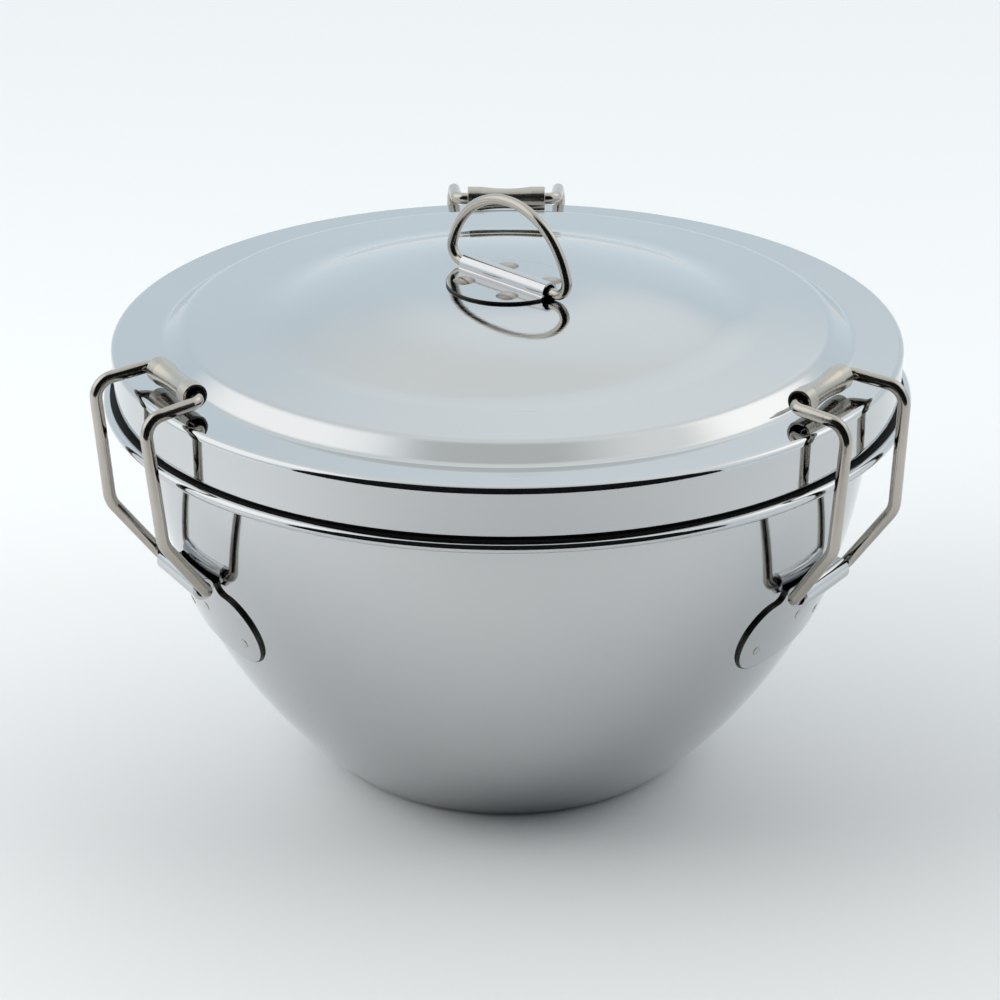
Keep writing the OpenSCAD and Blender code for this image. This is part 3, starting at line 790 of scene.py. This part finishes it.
def bracket():
    """A pressed plate that follows the wall, rolled over into a knuckle, and its cut edge, coloured
    near-black as painted shade.
    """
    shape, edge = Shape(), Shape()
    half = bracket_half()
    columns = 2 * BEND_STEPS
    top = WELD_GAP + BRACKET_SHEET

    def rim_point(p, n, inset, proud):
        """Place on the rim, the way out of the plate there, and the plate's own normal."""
        q = p - n * inset
        place, face = on_wall(q.x, q.y, proud)
        ahead, _ = on_wall(q.x + n.x * RIM_STEP, q.y + n.y * RIM_STEP, proud)
        return place, (ahead - place).normalized(), face

    inner = [p - n * CUT_EDGE_R for p, n in half]
    for points, proud, facing in ((inner, top, 1), ([p for p, _ in half], WELD_GAP, -1)):
        rows = []
        for p in points:
            row = [on_wall(p.x * (2 * i / columns - 1), p.y, proud) for i in range(columns + 1)]
            rows.append([(place, n * facing) for place, n in row])
        shape.grid(rows)
    bottom_p, bottom_n = half[0]
    bottom = []
    for i in range(1, columns):
        bottom.append((Vector((bottom_p.x * (1 - 2 * i / columns), bottom_p.y)), bottom_n))
    left = [(Vector((-p.x, p.y)), Vector((-n.x, n.y))) for p, n in half]
    border = list(reversed(half)) + bottom + left
    rows = []
    for i in range(EDGE_STEPS + 1):
        a = math.pi / 2 * (1 - i / EDGE_STEPS)
        inset = CUT_EDGE_R * (1 - math.cos(a))
        proud = top - CUT_EDGE_R * (1 - math.sin(a))
        row = []
        for p, n in border:
            place, out, face = rim_point(p, n, inset, proud)
            row.append((place, out * math.cos(a) + face * math.sin(a)))
        rows.append(row)
    rows.append([rim_point(p, n, 0, WELD_GAP)[:2] for p, n in border])
    edge.grid(rows)
    roll = knuckle_rows()
    shape.grid(roll)
    for row, angle, side in ((roll[0], ROLL_START, 1), (roll[-1], ROLL_END, -1)):
        shape.fan([p for p, _ in row[:-1]], (-side * math.sin(angle), 0, side * math.cos(angle)))
    return shape, edge


def knuckle_rows():
    """The plate's top edge rolled into a tube, with its free edge just off the plate."""
    length = KNUCKLE_L / 2
    e = CUT_EDGE_R
    section = [(Vector((KNUCKLE_OUT_R, -length + e)), Vector((1, 0)))]
    section += arc((KNUCKLE_OUT_R - e, length - e), e, 0, math.pi / 2, EDGE_STEPS)
    far, near = (Vector((KNUCKLE_IN_R, s * length)) for s in (1, -1))
    section += [(far, Vector((0, 1))), (far, Vector((-1, 0)))]
    section += [(near, Vector((-1, 0))), (near, Vector((0, -1)))]
    section += arc((KNUCKLE_OUT_R - e, -length + e), e, -math.pi / 2, 0, EDGE_STEPS)
    rows = []
    steps = 5 * BEND_STEPS
    for i in range(steps + 1):
        d = unit_at(ROLL_START + (ROLL_END - ROLL_START) * i / steps)
        rows.append([
            ((PIVOT_R + p.x * d.x, p.y, PIVOT_H + p.x * d.y), (n.x * d.x, n.y, n.x * d.y))
            for p, n in section
        ])
    return rows


def nugget_spots():
    """Place and normal of each spot weld on the bracket's face."""
    places = ((-NUGGET_SIDE, NUGGET_LOW), (NUGGET_SIDE, NUGGET_LOW), (0, NUGGET_HIGH))
    return [on_wall(across, PIVOT_H - drop, WELD_GAP + BRACKET_SHEET) for across, drop in places]


def nuggets():
    """Spot welds: low round pads with a dished middle."""
    shape = Shape()
    outline = [(Vector((NUGGET_R * r, NUGGET_PROUD * z)), Vector(n)) for r, z, n in NUGGET_LINE]
    for place, normal in nugget_spots():
        turn = normal.to_track_quat("Z", "Y").to_matrix()
        rows = lathe_rows(outline, steps=3 * BEND_STEPS)
        shape.grid([[(place + turn @ Vector(p), turn @ Vector(n)) for p, n in row] for row in rows])
    return shape


ROLLER_SPOT = Matrix.Translation(ROLLER_AXIS)
PIVOT = Vector((PIVOT_R, 0, PIVOT_H))
for side, (turn, lean) in CLIPS.items():
    around = Matrix.Rotation(math.radians(turn), 4, "Z")
    tip = Matrix.Rotation(math.radians(lean), 4, "Y")
    leaning = around @ Matrix.Translation(PIVOT) @ tip @ Matrix.Translation(-PIVOT)
    sheet, edge = bracket()
    made = sheet.piece(f"{side}_bracket_sheet", plate_steel, around)
    place_piece(made, "bowl", f"{side}_bracket")
    # The bracket's cut edge carries near-black painted shade
    made = edge.piece(f"{side}_bracket_edge", edge_painted_shade, around)
    place_piece(made, "bowl", f"{side}_bracket")
    spots = [p for p, _ in nugget_spots()]
    made = nuggets().piece(f"{side}_bracket_nuggets", nugget_steel, around, from_nearest(spots))
    place_piece(made, "bowl", f"{side}_bracket_welds")
    made = bail().piece(f"{side}_bail_wire", wire_steel, leaning)
    place_piece(made, f"{side}_clip", f"{side}_bail")
    made = roller().piece(f"{side}_roller_tube", roller_steel, leaning @ ROLLER_SPOT, lambda p: p.y)
    place_piece(made, f"{side}_roller", f"{side}_roller")


# Studio, in metres: a pale floor under a soft tent of light, with a black card on the camera's side
FLOOR_SIZE = 12.0
FLOOR_TONE = (0.83, 0.84, 0.845)
CARD_AWAY = 0.336
CARD_W = 1.0
CARD_H = 1.35
CARD_TONE = (0.01, 0.01, 0.011)

# Lamps: place and watts
LAMP_SIZE = 0.5
LAMPS = {"left": (-0.5, -0.15, 0.45, 2.0), "right": (0.6, -0.1, 0.58, 1.5)}
LAMP_AIM = Vector((0, 0, 0.05))

# Tent: its colour, and soft areas by direction, inner and outer half angle in degrees, and colour
TENT_TONE = (0.79, 0.90, 0.97)
TENT_AREAS = [
    ((0.05, 0.5, 0.86), 5, 42, (0.97, 1.0, 1.0)),
    ((0.12, 0.8, 0.58), 2, 18, (1.02, 1.08, 1.11)),
    ((0, -0.2, 0.98), 2, 30, (0.70, 0.72, 0.71)),
    ((-0.76, 0.1, 0.62), 16, 40, (1.47, 1.47, 1.46)),
    ((0.66, 0.22, 0.72), 10, 40, (1.08, 1.09, 1.08)),
    ((0.64, 0.38, 0.67), 1, 22, (1.62, 1.61, 1.59)),
]

# Camera at the photograph's angle, found from the lid's ellipse and the rim; its focus is in sensor widths
CAMERA_AWAY = 0.95
CAMERA_RISE = math.radians(21.02)
CAMERA_PITCH = math.radians(2.434)
CAMERA_YAW = math.radians(-0.114)
CAMERA_FOCUS = 3.953
SENSOR = 36.0


def flat_piece(name, corners, tone):
    """A plain diffuse sheet of the studio."""
    material = bpy.data.materials.new(name)
    material.use_nodes = True
    g = Graph(material.node_tree)
    diffuse = g.node("ShaderNodeBsdfDiffuse", {"Color": (*tone, 1)}).outputs[0]
    g.node("ShaderNodeOutputMaterial", {"Surface": diffuse})
    mesh = bpy.data.meshes.new(name)
    mesh.from_pydata(corners, [], [(0, 1, 2, 3)])
    mesh.materials.append(material)
    made = bpy.data.objects.new(name, mesh)
    bpy.context.scene.collection.objects.link(made)
    return made


def floor():
    h = FLOOR_SIZE / 2
    flat_piece("floor", [(-h, -h, 0), (h, -h, 0), (h, h, 0), (-h, h, 0)], FLOOR_TONE)


def black_card():
    """Draws the dark lines along the rounded edges that face the camera, which looks through it."""
    w = CARD_W / 2
    y = -CARD_AWAY
    made = flat_piece("black_card", [(-w, y, 0), (w, y, 0), (w, y, CARD_H), (-w, y, CARD_H)], CARD_TONE)
    made.visible_camera = False


def lamps():
    """Soft lamps at the sides that brighten the floor there, and that the metal doesn't mirror."""
    for side, (x, y, z, watts) in LAMPS.items():
        data = bpy.data.lights.new(f"{side}_lamp", "AREA")
        data.size = LAMP_SIZE
        data.energy = watts
        made = bpy.data.objects.new(f"{side}_lamp", data)
        bpy.context.scene.collection.objects.link(made)
        made.location = (x, y, z)
        made.rotation_euler = (LAMP_AIM - made.location).to_track_quat("-Z", "Y").to_euler()
        made.visible_glossy = False


def tent():
    """Light from all round, brighter or darker in a few soft areas."""
    world = bpy.data.worlds.new("tent")
    world.use_nodes = True
    bpy.context.scene.world = world
    g = Graph(world.node_tree)
    toward = g.node("ShaderNodeTexCoord").outputs["Generated"]
    colour = (*TENT_TONE, 1)
    for direction, inner, outer, tone in TENT_AREAS:
        aim = Vector(direction).normalized()
        dot = g.node("ShaderNodeVectorMath", {0: toward, 1: aim}, operation="DOT_PRODUCT")
        low, high = (math.cos(math.radians(half_angle)) for half_angle in (outer, inner))
        values = {"Value": dot.outputs["Value"], "From Min": low, "From Max": high}
        share = g.node("ShaderNodeMapRange", values, interpolation_type="SMOOTHSTEP").outputs["Result"]
        colour = g.mix(share, colour, (*tone, 1))
    back = g.node("ShaderNodeBackground", {"Color": colour, "Strength": 1.0}).outputs[0]
    g.node("ShaderNodeOutputWorld", {"Surface": back})


def camera():
    data = bpy.data.cameras.new("camera")
    data.sensor_width = SENSOR
    data.lens = CAMERA_FOCUS * SENSOR
    made = bpy.data.objects.new("camera", data)
    bpy.context.scene.collection.objects.link(made)
    out = CAMERA_AWAY * math.cos(CAMERA_RISE)
    made.location = (0, -out, LAND_Z * MM + CAMERA_AWAY * math.sin(CAMERA_RISE))
    down = CAMERA_RISE + CAMERA_PITCH
    ahead = math.cos(down)
    toward = Vector((math.sin(CAMERA_YAW) * ahead, math.cos(CAMERA_YAW) * ahead, -math.sin(down)))
    made.rotation_euler = toward.to_track_quat("-Z", "Y").to_euler()
    bpy.context.scene.camera = made


floor()
black_card()
lamps()
tent()
camera()
bpy.context.scene.view_settings.view_transform = "Standard"
